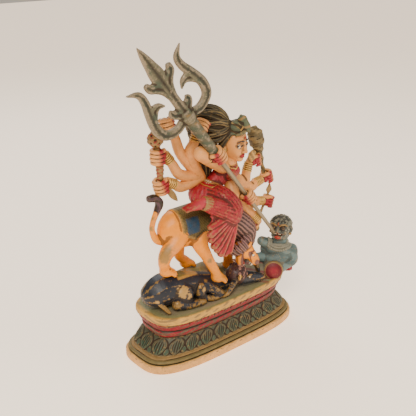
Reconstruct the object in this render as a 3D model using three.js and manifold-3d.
// A painted brass table figure: the ten-armed goddess Durga rides her lion over the slain buffalo
// and drives a long trident into the demon at the end of an oval lotus plinth.
// Millimetres, +Z up, +X along the plinth towards the demon, -Y the front. The origin is the middle
// of the underside. The figures' points are shares of each figure's own height, in hundredths.

import * as THREE from "three";
import { mergeVertices } from "three/addons/utils/BufferGeometryUtils.js";
import Module from "manifold-3d";

const wasm = await Module();
wasm.setup();

// Driving sizes
const PLINTH_LENGTH = 240;
const PLINTH_DEPTH = 103;
const FOOT_HEIGHT = 8.5;
const MOULDING_HEIGHT = 8.5;
const LOTUS_HEIGHT = 28;
const TIER_HEIGHT = 12.5;
const RIM_HEIGHT = 9.5;
const PLATFORM_LENGTH = 209;
const PLATFORM_DEPTH = 90;
const NECK_LENGTH = 184;
const NECK_DEPTH = 74;
const OVAL_POWER = 3.5;
const PETAL_COUNT = 24;
const PETAL_RELIEF = 3;
const BUFFALO_HEIGHT = 43;
const MOUND_HEIGHT = 28;
const LION_HEIGHT = 100;
const PAW_RISE = 17;
const GODDESS_HEIGHT = 115;
const DEMON_HEIGHT = 75;
const DEMON_END_MARGIN = 7.5;
const SHIELD_RADIUS = 11;
const SHAFT_RADIUS = 2.6;
const SOCKET_RADIUS = 6.6;
const SOCKET_LENGTH = 69;
const TRIDENT_LENGTH = 333;
const TRIDENT_HEAD_LENGTH = 97;
const TRIDENT_SPAN = 75.5;
const MACE_LENGTH = 74;
const CLUB_RADIUS = 9.5;
const GAP = 0.3;

const PLINTH_HEIGHT = FOOT_HEIGHT + MOULDING_HEIGHT + LOTUS_HEIGHT + TIER_HEIGHT + RIM_HEIGHT;
const UP = new THREE.Vector3(0, 0, 1);
const SIDEWAYS = new THREE.Vector3(0, 1, 0);

const vec = (x, y, z) => new THREE.Vector3(x, y, z);

// A pose: points given in the figure's own hundredths become places in the model.
const poseAt = (origin, unit) => (x, y, z) => vec(x, y, z).multiplyScalar(unit).add(origin);

// A turned frame (ahead, aside, above) at an origin, for heads and hands.
function frameAt(origin, ahead, above = UP) {
  const f = ahead.clone().normalize();
  const r = new THREE.Vector3().crossVectors(f, above).normalize();
  const u = new THREE.Vector3().crossVectors(r, f);
  const place = (a, b, c) =>
    origin.clone().addScaledVector(f, a).addScaledVector(r, b).addScaledVector(u, c);
  return { origin, f, r, u, place };
}

// A manifold solid from points and triangles.
function solidOf(points, faces) {
  const vertProperties = new Float32Array(points.flatMap((p) => p.toArray()));
  return new wasm.Manifold(new wasm.Mesh({ numProp: 3, vertProperties, triVerts: new Uint32Array(faces) }));
}

// A solid from rings of points; the ends are closed on their middle points.
function solidOfRings(rings) {
  const sides = rings[0].length;
  const middle = (ring) => ring.reduce((s, p) => s.add(p), vec(0, 0, 0)).divideScalar(sides);
  const points = [...rings.flat(), middle(rings[0]), middle(rings.at(-1))];
  const last = rings.length - 1;
  const faces = [];
  for (let k = 0; k < sides; k++) {
    const n = (k + 1) % sides;
    for (let i = 0; i < last; i++) {
      const [a, b, c, d] = [i * sides + k, i * sides + n, (i + 1) * sides + n, (i + 1) * sides + k];
      faces.push(a, b, c, a, c, d);
    }
    faces.push(points.length - 2, n, k);
    faces.push(points.length - 1, last * sides + k, last * sides + n);
  }
  const solid = solidOf(points, faces);
  if (solid.volume() >= 0) return solid;
  for (let i = 0; i < faces.length; i += 3) {
    [faces[i + 1], faces[i + 2]] = [faces[i + 2], faces[i + 1]];
  }
  return solidOf(points, faces);
}

// A solid from a closed three.js geometry.
function solidOfGeometry(geometry) {
  const bare = geometry.clone();
  bare.deleteAttribute("normal");
  bare.deleteAttribute("uv");
  const merged = mergeVertices(bare, 1e-4);
  return new wasm.Manifold(new wasm.Mesh({
    numProp: 3,
    vertProperties: new Float32Array(merged.attributes.position.array),
    triVerts: new Uint32Array(merged.index.array),
  }));
}

// A limb: a tapering bar along a smooth path, its ends flat or domed. girth holds, for each point of
// the path, one radius or a pair: across the path level with ref's side, and along ref.
// flute draws in every second corner, which makes folds or strands run along it.
function limb(path, girth, { sides = 6, ref = UP, dome = 0, flute = 0, grow = 0 } = {}) {
  const curve = new THREE.CatmullRomCurve3(path, false, "centripetal");
  const spans = path.length - 1;
  const pair = (g) => (Array.isArray(g) ? g : [g, g]);
  const rings = [];
  const ringAt = (t, out, shrink) => {
    const i = Math.min(Math.floor(t * spans), spans - 1);
    const between = (k) => THREE.MathUtils.lerp(pair(girth[i])[k], pair(girth[i + 1])[k], t * spans - i);
    const [ra, rb] = [between(0) + grow, between(1) + grow];
    const tangent = curve.getTangent(t);
    const side = new THREE.Vector3().crossVectors(ref, tangent).normalize();
    const over = new THREE.Vector3().crossVectors(tangent, side);
    const middle = curve.getPoint(t).addScaledVector(tangent, out * Math.min(ra, rb) * dome);
    rings.push(Array.from({ length: sides }, (_, k) => {
      const angle = (2 * Math.PI * (k + 0.5)) / sides;
      const size = shrink * (1 - flute * (k % 2));
      return middle.clone()
        .addScaledVector(side, Math.cos(angle) * ra * size)
        .addScaledVector(over, Math.sin(angle) * rb * size);
    }));
  };
  if (dome) ringAt(0, -0.8, 0.55);
  path.forEach((_, i) => ringAt(i / spans, 0, 1));
  if (dome) ringAt(1, 0.8, 0.55);
  return solidOfRings(rings);
}

// An egg: a sphere with its own three radii, in a turned frame (ahead, aside, above).
function egg(middle, radii, more = {}) {
  const { ahead = vec(1, 0, 0), above = UP, cols = 8, rows = 5, flute = 0, grow = 0 } = more;
  const frame = frameAt(middle, ahead, above);
  const rings = [];
  for (let i = 0; i <= rows; i++) {
    const lift = -Math.PI / 2 + (Math.PI * (i + 0.35)) / (rows + 0.7);
    rings.push(Array.from({ length: cols }, (_, k) => {
      const angle = (2 * Math.PI * k) / cols;
      const level = Math.cos(lift) * (1 - flute * (k % 2));
      return frame.place(
        level * Math.cos(angle) * (radii[0] + grow),
        level * Math.sin(angle) * (radii[1] + grow),
        Math.sin(lift) * (radii[2] + grow),
      );
    }));
  }
  return solidOfRings(rings);
}

// A plain block between two corners, for cutting.
function block(low, high) {
  const size = high.clone().sub(low);
  const middle = low.clone().add(high).multiplyScalar(0.5);
  const box = new THREE.BoxGeometry(size.x, size.y, size.z);
  return solidOfGeometry(box.translate(middle.x, middle.y, middle.z));
}

const FAR = 500;
const abovePlinth = block(vec(-FAR, -FAR, PLINTH_HEIGHT + GAP), vec(FAR, FAR, FAR));
const join = (solids) => solids.reduce((all, one) => all.add(one));

// The largest body of a solid: crumbs that a cut leaves are dropped.
const mainBody = (solid) => solid.decompose().sort((a, b) => b.volume() - a.volume())[0];

// The tools of one figure: its own unit, place, growth and sized limbs and eggs.
function bodyTools(at, unit, grow = 0) {
  const scaled = (g) => (Array.isArray(g) ? g.map((v) => v * unit) : g * unit);
  return {
    at,
    unit,
    part: (path, girth, more = {}) => limb(path, girth.map(scaled), { grow, ...more }),
    ball: (middle, radii, more = {}) => egg(middle, radii.map(scaled), { grow, ...more }),
    framed: (frame) => (a, b, c) => frame.place(a * unit, b * unit, c * unit),
  };
}

// Points evenly spaced along the plinth's oval, at one height and inset by a share of relief.
function ovalRing(length, depth, z, count, relief = () => 0) {
  const root = (v) => Math.sign(v) * Math.abs(v) ** (2 / OVAL_POWER);
  const outline = Array.from({ length: 400 }, (_, k) => {
    const angle = (2 * Math.PI * k) / 400;
    return vec((root(Math.cos(angle)) * length) / 2, (root(Math.sin(angle)) * depth) / 2, z);
  });
  const curve = new THREE.CatmullRomCurve3(outline, true);
  curve.arcLengthDivisions = 800;
  return Array.from({ length: count }, (_, k) => {
    const tangent = curve.getTangentAt(k / count);
    return curve.getPointAt(k / count).addScaledVector(vec(tangent.y, -tangent.x, 0), relief(k));
  });
}

// Plinth: foot, round moulding, hanging lotus petals, waist, flared tier and rim.
function makePlinth() {
  const around = PETAL_COUNT * 2;
  const zLotus = FOOT_HEIGHT + MOULDING_HEIGHT;
  const zTier = zLotus + LOTUS_HEIGHT;
  const zRim = zTier + TIER_HEIGHT;
  const ring = (length, depth, z, relief) => ovalRing(length, depth, z, around, relief);
  const foot = (inset, z) => ring(PLINTH_LENGTH - 2 * inset, PLINTH_DEPTH - 2 * inset, z);
  const rim = (inset, z) => ring(PLATFORM_LENGTH - 2 * inset, PLATFORM_DEPTH - 2 * inset, z);
  const petalBand = (share, proud) => {
    const draw = share ** 1.5;
    return ring(
      THREE.MathUtils.lerp(PLINTH_LENGTH - 20, NECK_LENGTH, draw),
      THREE.MathUtils.lerp(PLINTH_DEPTH - 18, NECK_DEPTH, draw),
      zLotus + share * LOTUS_HEIGHT,
      (k) => (k % 2 ? 0.1 : 1) * proud * PETAL_RELIEF,
    );
  };
  return solidOfRings([
    foot(0, 0),
    foot(0, FOOT_HEIGHT - 1.2),
    foot(4.6, FOOT_HEIGHT),
    foot(3, FOOT_HEIGHT + MOULDING_HEIGHT * 0.4),
    foot(9, zLotus),
    petalBand(0.08, 0.4),
    petalBand(0.38, 1),
    petalBand(0.76, 0.3),
    petalBand(1, 0),
    rim(5, zTier + TIER_HEIGHT * 0.4),
    rim(6.4, zTier + TIER_HEIGHT * 0.52),
    rim(2.2, zRim - TIER_HEIGHT * 0.08),
    rim(0, zRim + RIM_HEIGHT * 0.2),
    rim(0, zRim + RIM_HEIGHT * 0.75),
    rim(2.6, PLINTH_HEIGHT),
  ]);
}

// Where each figure stands
const groundUnit = BUFFALO_HEIGHT / 43;
const ground = poseAt(vec(0, 0, PLINTH_HEIGHT + GAP), groundUnit);
const lionUnit = LION_HEIGHT / 100;
const lion = poseAt(vec(0, 0, PLINTH_HEIGHT + PAW_RISE * groundUnit), lionUnit);
const goddessUnit = GODDESS_HEIGHT / 115;
const goddess = poseAt(lion(0, 0, 99), goddessUnit);
const demonUnit = DEMON_HEIGHT / 75;
const demon = poseAt(vec(PLATFORM_LENGTH / 2 - DEMON_END_MARGIN, -22, PLINTH_HEIGHT + GAP), demonUnit);

// The demon's head and its mouth, and the two hands that hold the shaft
const demonHead = frameAt(demon(2, 0, 59), vec(-0.87, -0.48, 0.1));
const mouth = bodyTools(demon, demonUnit).framed(demonHead)(13.5, 5, -3.2);
const upperGrip = goddess(-18.4, -30, 66.7);
const shaftLine = upperGrip.clone().sub(mouth).normalize();
const onShaft = (fromMouth) => mouth.clone().addScaledVector(shaftLine, fromMouth);
const gripReach = upperGrip.distanceTo(mouth);
const lowerGrip = onShaft(gripReach * 0.505);

const hub = TRIDENT_LENGTH - TRIDENT_HEAD_LENGTH;
const shaftGirth = [SHAFT_RADIUS * 0.86, SHAFT_RADIUS * 1.2];
const shaft = (grow) => limb([-2, hub].map(onShaft), shaftGirth, { sides: 8, grow });
const socket = (grow) => limb(
  [hub - SOCKET_LENGTH - grow, hub - SOCKET_LENGTH + 4, hub - 8, hub - 4, hub + 5].map(onShaft),
  [0.84, 0.92, 1.06, 1.3, 1.1].map((share) => share * SOCKET_RADIUS),
  { sides: 9, grow },
);

const pawPlaces = [
  ground(-76, -10, 48),
  ground(-25, 18, 33),
  ground(-11, -26, 25),
  ground(30, -1, 20),
];
const pawAims = [vec(0.9, -0.4, 0), vec(1, -0.1, 0), vec(0.9, -0.45, -0.1), vec(1, -0.3, -0.1)];

// A paw: a low egg whose scalloped front makes the toes.
function paw(index, grow = 0) {
  const { ball } = bodyTools(lion, lionUnit, grow);
  return ball(pawPlaces[index], [10, 8.4, 7], { ahead: pawAims[index], cols: 10, rows: 3, flute: 0.12 });
}

// Ground: a flat-topped mound, the buffalo's body lying along it and its severed head.
function makeGround(cutters) {
  const { at, part, ball } = bodyTools(ground, groundUnit);
  const mound = [[54, 30, -0.1], [50, 26, 0.6], [38, 17, 1]].map(([a, b, share]) =>
    Array.from({ length: 10 }, (_, k) => {
      const angle = (2 * Math.PI * k) / 10;
      const lift = MOUND_HEIGHT * share * (1 - 0.16 * Math.cos(angle));
      return at(-14 + Math.cos(angle) * a, 12 + Math.sin(angle) * b, 0).add(vec(0, 0, lift));
    }));
  const parts = [
    solidOfRings(mound),
    // rump, trunk and flank
    part([at(-97, 1, 19), at(-90, 0, 20), at(-74, -2, 22), at(-46, -6, 18), at(-12, -14, 13),
      at(8, -18, 9)], [[9, 9], [17, 16], [21, 21], [17, 18], [12, 14], [8, 9]], { sides: 9 }),
    // folded hind leg and its hoof
    ball(at(-61, -20, 15), [14, 9, 15], { ahead: vec(1, -0.25, 0.2), cols: 7, rows: 4 }),
    part([at(-74, -24, 10), at(-62, -27, 5), at(-46, -30.5, 5), at(-39, -31, 4)], [7, 5, 4.8, 3.4]),
    // tail
    part([at(-97, -2, 22), at(-93, -14, 14), at(-86, -24, 3)], [2.6, 2.6, 3.2], { sides: 5 }),
    // folded forelegs
    ball(at(-38, -24, 14), [7.5, 6, 12], { cols: 6, rows: 3 }),
    part([at(-30, -20, 19), at(-22, -27, 13), at(-12, -31, 6), at(-8, -32, 4)], [8, 6.6, 5, 3]),
    part([at(-34, -27, 6), at(-26, -32, 4), at(-15, -33, 3.6)], [5.4, 4.6, 3.4], { sides: 5 }),
    // severed head: skull, muzzle, ear and horns
    ball(at(20, -24, 19), [14, 13, 14], { ahead: vec(1, -0.3, -0.4), cols: 9, rows: 5 }),
    part([at(26, -27, 13), at(41, -29, 9), at(52, -31, 6.5), at(57, -32, 6)],
      [[10, 10], [7, 7.5], [6.8, 6], [4, 4]], { sides: 7 }),
    part([at(17, -33, 20), at(13, -38, 22)], [4.6, 2.6], { sides: 5 }),
    part([at(12, -30, 14), at(2, -35, 11), at(-6, -37, 6), at(-12, -35, 2)],
      [4.4, 4, 3.4, 1.8], { sides: 5 }),
    part([at(32, -16, 22), at(43, -16, 30), at(54, -18, 26), at(59, -22, 12), at(60, -24, 1)],
      [5, 4.6, 4.4, 4.2, 4.2], { sides: 5 }),
  ];
  return mainBody(join(parts).intersect(abovePlinth).subtract(join(cutters)));
}

// The lion's trunk with its saddle cloth, a raised band that the goddess sits on, and its neck.
const lionBack = [-76, -66, -65, -36, -5, -4, 12].map((x) => lion(x, -1, 77));
const backGirth = [[15, 21], [18, 24.5], [19.6, 26], [20, 26.4], [20, 26.4], [18.4, 25], [18, 23]];
const lionNeck = [lion(2, -2, 78), lion(24, -6, 70), lion(38, -12, 55), lion(40, -18, 42)];
const neckGirth = [[18, 22], [20, 24], [18, 20], [13, 13]];

function lionTrunk(grow) {
  return bodyTools(lion, lionUnit, grow).part(lionBack, backGirth, { sides: 10 });
}

function lionMane(grow) {
  const { part } = bodyTools(lion, lionUnit, grow);
  return part(lionNeck, neckGirth, { sides: 12, ref: SIDEWAYS, flute: 0.1 });
}

// The lion's head: skull, muzzle and nose, lower jaw, brows and ears.
function lionHead(grow) {
  const { at, part, ball, framed } = bodyTools(lion, lionUnit, grow);
  const ahead = vec(0.42, -0.42, -0.8);
  const head = frameAt(at(30, -24, 32), ahead, vec(0.75, -0.3, 0.6));
  const face = framed(head);
  const aimed = { ahead, above: head.u };
  return join([
    ball(face(0, 0, 1), [13, 13, 13], aimed),
    part([face(7, 0, 4), face(14, 0, 4), face(20, 0, 4), face(23, 0, 5)],
      [[9, 8], [8, 7], [6.4, 5.4], [4, 3.4]], { sides: 7, ref: head.u }),
    part([face(3, 0, -8), face(11, 0, -14), face(17, 0, -18)],
      [[8, 6], [6.4, 4.6], [4.6, 3]], { ref: head.u }),
    ...[-1, 1].flatMap((s) => [
      ball(face(7, s * 6, 9), [5, 3.6, 3], { ...aimed, cols: 5, rows: 2 }),
      part([face(-2, s * 7, 6), face(-5, s * 15, 13)], [5, 2.4], { sides: 5 }),
    ]),
  ]);
}

// Lion: head down on the buffalo, tail up in an S, a cloth over its back.
function makeLion() {
  const { at, part, ball } = bodyTools(lion, lionUnit);
  return mainBody(join([
    lionTrunk(0),
    ball(at(-63, 0, 81), [17, 17, 23], { cols: 9 }),
    lionMane(0),
    lionHead(0),
    // hind legs, forelegs and paws
    part([at(-54, -8, 78), at(-64, -12, 66), at(-77, -13, 54), at(-83, -12, 44), pawPlaces[0]],
      [13, 12, 9.6, 7.4, 7.2], { sides: 7 }),
    part([at(-50, 10, 66), at(-42, 14, 44), at(-38, 17, 30), pawPlaces[1]], [13, 8, 6.6, 6.6]),
    part([at(-22, -8, 72), at(-32, -15, 58), at(-26, -20, 40), at(-17, -24, 20), pawPlaces[2]],
      [11, 10.5, 7.4, 6.2, 6.6], { sides: 7, ref: SIDEWAYS }),
    part([at(8, 6, 66), at(20, 4, 42), at(26, 0, 20), pawPlaces[3]], [13, 9, 6.8, 6.6], { ref: SIDEWAYS }),
    ...pawPlaces.map((_, i) => paw(i)),
    // tail with its dark tuft
    part([at(-72, 0, 66), at(-84, 0, 68), at(-89, 0, 84), at(-84, 0, 98), at(-79, 0, 105), at(-76, 0, 112),
      at(-82, 0, 119.5), at(-92, 0, 121)], [5.4, 4.4, 3.6, 3.6, 4.2, 5.4, 4.8, 1.6], { ref: SIDEWAYS }),
  ]));
}

// A closed fist round a bar: a roll of fingers, bulging between narrow joints.
function fist(middle, aim, unit) {
  const along = aim.clone().normalize();
  const girth = [6, 8, 6.4, 8.4, 6.4, 8, 5.4].map((r) => r * unit);
  const path = girth.map((_, i) => middle.clone().addScaledVector(along, (i - 3) * 3 * unit));
  return limb(path, girth, { sides: 5, ref: Math.abs(along.y) > 0.8 ? UP : SIDEWAYS });
}

// An arm from shoulder to hand; the rings before the hand are its bangles.
function arm(path, girth, unit) {
  const hand = path.at(-1);
  const along = hand.clone().sub(path.at(-2)).normalize();
  const back = (reach) => hand.clone().addScaledVector(along, -reach * unit);
  const wrist = girth.at(-1);
  return limb(
    [...path.slice(0, -1), back(16), back(12), back(6)],
    [...girth, wrist + 2 * unit, wrist],
    { sides: 6, ref: vec(0.1, 1, 0.05) },
  );
}

// The goddess's head: face, brow band, pointed diadem, swept-up hair and the hair down her back.
function goddessHead({ at, part, ball, framed }) {
  const head = frameAt(at(27, -7, 65.5), vec(0.3, -0.95, -0.1));
  const face = framed(head);
  return [
    ball(face(0, 0, 0), [13.4, 12.5, 17.5], { ahead: head.f, cols: 9, rows: 6 }),
    part([face(11.5, 0, 5), face(16, 0, -2.5)], [1.8, 2.6], { sides: 5 }),
    ball(face(10, 0, -12.5), [4, 4.2, 3.4], { cols: 5, rows: 2 }),
    // brow band and diadem
    part([face(0.5, 0, 10), face(-1.5, 0, 19)], [[15, 15], [13, 13]], { sides: 9, ref: head.r }),
    part([face(11, 0, 13), face(11, 0, 24), face(11, 0, 33)],
      [[3, 9], [2.4, 6], [1, 1.2]], { ref: head.r }),
    // swept-up hair: ridges run from the brow over the crown to the back
    part([at(22, -1, 80), at(4, 6, 88)], [14, 20], { sides: 8 }),
    ball(at(-1, 8, 91), [22, 20, 26], { ahead: UP, above: head.f, cols: 12, rows: 4, flute: 0.1 }),
    part([at(4, 3, 84), at(0, 7, 66), at(-1, 9, 46), at(-1, 5, 26)], [[19, 12], [18, 11], [13, 9], [6, 5]],
      { sides: 8, ref: SIDEWAYS, flute: 0.12 }),
  ];
}

// Held things that are cast with their hands: club, dagger, mace, arrow, conch and bud.
function heldThings(hands, unit) {
  const bar = (from, places, girth, more = {}) => limb(
    places.map(([x, y, z]) => from.clone().add(vec(x, y, z).multiplyScalar(unit))),
    girth.map((r) => r * unit),
    { sides: 5, ref: SIDEWAYS, ...more },
  );
  const mace = [[0, 2.6], [0.3, 3.4], [0.45, 4.4], [0.6, 6.6], [0.72, 9.4], [0.82, 11.2], [0.91, 9],
    [1, 2.5]];
  const clubHead = hands.club.clone().add(vec(-4, 0, 20).multiplyScalar(unit));
  return [
    bar(hands.club, [[1, 0, -25], [1, 0, -12], [0, 0, 0], [-2, 0, 12]], [4, 4.6, 3.4, 3.6]),
    egg(clubHead, Array(3).fill(CLUB_RADIUS), { rows: 4 }),
    bar(hands.dagger, [[-2, 0, 8], [8, 0, -6], [14, -2, -15], [20, -3, -24]], [3.4, 3.2, 4.6, 1.4]),
    limb(
      mace.map(([s]) => hands.mace.clone().add(vec(-24 * s * unit, 0, MACE_LENGTH * (s - 0.08)))),
      mace.map(([, r]) => r * unit),
      { sides: 7 },
    ),
    bar(hands.arrow, [[-11, 0, -13], [3, 0, 12], [3, 0, 16], [4, 0, 24]], [2.4, 2, 5.2, 1.2]),
    bar(hands.conch, [[-9, -3, 1], [-7, -3, 6], [-4, -3, 12]], [2, 5, 2.6]),
    bar(hands.bud, [[1, 0, -2], [4, -2, -7], [6, -3, -12]], [2.4, 4, 1.6]),
  ];
}

// The goddess: sitting sideways with one leg folded, ten arms, a red wrap and its fan of pleats.
function makeGoddess(cutters) {
  const tools = bodyTools(goddess, goddessUnit);
  const { at, part, ball, framed, unit } = tools;
  const chestAhead = vec(0.55, -0.83, 0);
  const chest = framed(frameAt(at(17, -5, 35), chestAhead));
  const armGirth = [7.4, 7, 5].map((r) => r * unit);
  const gripGirth = [8, 9, 5.6].map((r) => r * unit);
  const fanRoot = at(-14, 5, 31);
  const leftRoot = at(34, 2, 24);
  const hands = {
    club: at(-77, 0, 71),
    dagger: at(-74, 0, 36),
    conch: at(69, 0, 36),
    mace: at(91, 0, 9),
    arrow: at(94, 0, -25),
    bud: at(55, -15, -39),
  };
  // each reaching hand with its elbow and the direction of what it holds
  const fan = [
    [at(-67, 2, 101), at(-42, 4, 64), vec(-0.2, 0.2, 1)],
    [at(-16, 0, 96), at(-22, 4, 66), vec(0.6, 0.3, 0.7)],
    [hands.club, at(-46, 2, 42), vec(-0.05, 0, 1)],
    [hands.dagger, at(-44, 2, 27), vec(-0.3, 0, 1)],
  ];
  const leftArms = [
    [hands.conch, at(53, 1, 10), vec(-0.2, 0, 1)],
    [hands.mace, at(62, 1, 2), vec(-0.3, 0, 1)],
    [hands.arrow, at(64, -1, -18), vec(0.3, 0, 1)],
    [hands.bud, at(40, -12, -12), vec(0.5, -0.2, -0.8)],
  ];
  return mainBody(join([
    // hips, waist, chest and neck
    ball(at(-13, -3, 11), [21, 18, 17], { ahead: chestAhead, cols: 9 }),
    part([at(-9, -3, 12), at(1, -3, 23), at(15, -5, 34), at(23, -6, 42), at(25, -6, 52)],
      [[17, 15], [13, 11], [16, 12], [12, 9], [6.4, 6.4]], { sides: 9, ref: chestAhead }),
    ...[-1, 1].map((s) =>
      ball(chest(9, s * 7.5, -1), [8, 7.5, 7.5], { ahead: chestAhead, cols: 6, rows: 3 })),
    // near leg folded over the lion, its foot, and the far leg
    part([at(-10, -10, 10), at(-6, -28, 9), at(-2, -37, -3), at(-2, -38, -12)],
      [[17, 15], [15, 15], [12, 13], [6, 8]], { sides: 10, ref: vec(1, 0, 0), flute: 0.12 }),
    part([at(4, -37, -12), at(-2, -37, -7), at(-18, -37, 4), at(-38, -33, 15)],
      [[7, 8], [12, 13], [11, 12], [9, 9]], { sides: 10, flute: 0.12 }),
    part([at(-36, -33, 15), at(-50, -31, 15), at(-62, -29, 14), at(-67, -29, 13)],
      [[9, 9], [6, 6.6], [5.6, 6.6], [3, 3]]),
    part([at(-10, -4, 13), at(6, 10, 8), at(20, 22, 0), at(22, 28, -20), at(18, 28, -42), at(25, 27, -48)],
      [14, 15, 12, 9, 6.6, 4]),
    // the fan of pleats that hangs over the lion's shoulder
    part([at(-14, -37, -4), at(-14, -40, -22), at(-17, -40, -40), at(-18, -39, -54)],
      [[6, 23], [5, 20], [4, 13], [3, 7]], { sides: 14, ref: vec(1, 0, 0), flute: 0.18 }),
    ...goddessHead(tools),
    ...fan.map(([hand, elbow]) => arm([fanRoot, elbow, hand], armGirth, unit)),
    ...leftArms.map(([hand, elbow]) => arm([leftRoot, elbow, hand], armGirth, unit)),
    arm([chest(0, 14, 9), at(-34, -22, 69.5), upperGrip], gripGirth, unit),
    arm([chest(-1, -14, 7), at(19, -16, 9), lowerGrip], gripGirth, unit),
    ...[...fan, ...leftArms].map(([hand, , aim]) => fist(hand, aim, unit)),
    fist(upperGrip, shaftLine, unit),
    fist(lowerGrip, shaftLine, unit),
    ...heldThings(hands, unit),
  ]).subtract(join(cutters)));
}

// Trident: thin shaft into the demon's mouth, thick socket above the hand, hub and three prongs.
function makeTrident() {
  const side = new THREE.Vector3().crossVectors(vec(0.1, 1, 0.125), shaftLine).normalize();
  const flat = new THREE.Vector3().crossVectors(shaftLine, side);
  const reach = TRIDENT_HEAD_LENGTH;
  const half = TRIDENT_SPAN / 2;
  const point = ([along, aside]) => onShaft(hub + along * reach).addScaledVector(side, aside * half);
  const bar = (places, girth, more = {}) => limb(places.map(point), girth, { ref: flat, ...more });
  const prong = (s) => [
    bar([[-0.05, 0.1 * s], [-0.09, 0.46 * s], [-0.03, 0.82 * s], [0.12, 0.92 * s], [0.3, 0.83 * s],
      [0.46, 0.71 * s], [0.58, 0.73 * s], [0.67, s]],
    [[5.6, 4.4], [5.6, 4.6], [5.8, 4.8], [5.8, 4.8], [5.4, 4.6], [4.6, 4.2], [3.8, 3.4], [0.9, 0.9]]),
    bar([[0.25, 0.8 * s], [0.31, 0.56 * s], [0.26, 0.34 * s]], [4, 3.2, 1.2], { sides: 5 }),
    bar([[0.02, 0.08 * s], [0.12, 0.3 * s], [0.17, 0.44 * s]], [4.6, 3.6, 2], { sides: 5 }),
    bar([[0.32, 0.02 * s], [0.47, 0.14 * s], [0.57, 0.45 * s]],
      [[5, 4.2], [5.4, 4.4], [1.6, 1.4]], { sides: 6 }),
  ];
  return join([
    shaft(0),
    socket(0),
    bar([[0, 0], [0.36, 0]], [[6, 5.4], [5.6, 4.8]], { sides: 6 }),
    bar([[0.32, 0], [0.52, 0], [0.6, 0], [0.72, 0], [0.98, 0]],
      [[5, 4.6], [6.4, 5], [9, 5], [7, 4.4], [0.9, 0.9]], { sides: 6 }),
    ...prong(-1),
    ...prong(1),
  ]);
}

// Demon: rising at the plinth's end, the trident in its mouth and a round shield before it.
function makeDemon() {
  const { at, part, ball, framed } = bodyTools(demon, demonUnit);
  const chestAhead = vec(-0.75, -0.66, 0.05);
  const chest = framed(frameAt(at(0, 0, 28), chestAhead));
  const face = framed(demonHead);
  const faced = { ahead: demonHead.f };
  const shield = frameAt(at(-22, -13, SHIELD_RADIUS * 0.84), vec(-0.64, -0.74, 0.2));
  const rim = SHIELD_RADIUS + 1.8;
  return mainBody(join([
    // hips, chest, shoulders and neck
    ball(at(-1, 1, 10), [14, 18, 15], { ahead: chestAhead }),
    ball(chest(0, 0, 0), [13, 20, 14], { ahead: chestAhead, cols: 9 }),
    ...[-1, 1].map((s) =>
      ball(chest(1, s * 17, 1), [9, 8, 9], { ahead: chestAhead, cols: 6, rows: 3 })),
    part([chest(0, 0, 8), face(-3, 0, -8)], [12, 9.5], { sides: 7 }),
    // the short raised arm, the arm to the shield and the leg under the lion's jaws
    part([at(-6, 8, 34), at(-20, 12, 42)], [8, 6.6]),
    part([chest(2, -18, -2), chest(7, -18, -13), shield.place(-2, 0, 0)], [7, 6, 5]),
    part([at(-4, 6, 18), at(-20, 9, 20), at(-31, 11, 23)], [11, 7.6, 5], { ref: SIDEWAYS }),
    part([at(-2, -8, 26), at(-2, -9, 12), at(-3, -9, 1)],
      [[6, 4], [6, 3.4], [7, 3]], { ref: vec(1, 0, 0) }),
    // shield: raised rim and disc
    limb([-3, -0.6, -0.5, 1.2].map((a) => shield.place(a, 0, 0)),
      [rim, rim, SHIELD_RADIUS, SHIELD_RADIUS * 0.8], { sides: 12, ref: shield.r }),
    // head: skull, bearded jaw, nose, brows and curled hair
    ball(face(0, 0, 0), [15, 13.6, 14], { ...faced, cols: 9 }),
    ball(face(4, 0, -8), [11, 11, 9], { ...faced, cols: 7, rows: 4 }),
    part([face(12, 0, 5), face(17.4, 0, -0.5)], [2, 3.4], { sides: 5 }),
    part([face(11, 8, 8), face(14.4, 0, 6.6), face(11, -8, 8)], [1.8, 2.4, 1.8], { sides: 5 }),
    ball(face(-2, 0, 6), [15.6, 15, 12], { ...faced, cols: 12, rows: 2, flute: 0.1 }),
  ]).intersect(abovePlinth).subtract(shaft(GAP)));
}

// One closed mesh for a solid, in its paint.
function meshOf(name, solid, color, roughness, metalness = 0.25) {
  const { vertProperties, triVerts } = solid.getMesh();
  const geometry = new THREE.BufferGeometry()
    .setAttribute("position", new THREE.BufferAttribute(new Float32Array(vertProperties), 3))
    .setIndex(new THREE.BufferAttribute(new Uint32Array(triVerts), 1));
  geometry.computeVertexNormals();
  const mesh = new THREE.Mesh(geometry, new THREE.MeshStandardMaterial({ color, roughness, metalness }));
  mesh.name = name;
  return mesh;
}

const lionRoom = [lionHead(GAP), ...pawPlaces.map((_, i) => paw(i, GAP))];
const riderRoom = [lionTrunk(GAP), lionMane(GAP), shaft(GAP), socket(GAP)];

const figure = new THREE.Group();
figure.name = "durga_figure";
figure.add(
  meshOf("plinth", makePlinth(), 0x6b705c, 0.55),
  meshOf("buffalo_mound", makeGround(lionRoom), 0x2a2f38, 0.45),
  meshOf("lion", makeLion(), 0xe0962a, 0.45),
  meshOf("goddess", makeGoddess(riderRoom), 0xb02a3a, 0.5),
  meshOf("trident", makeTrident(), 0x5c6455, 0.5, 0.6),
  meshOf("demon", makeDemon(), 0x5f7078, 0.5),
);

export default figure;
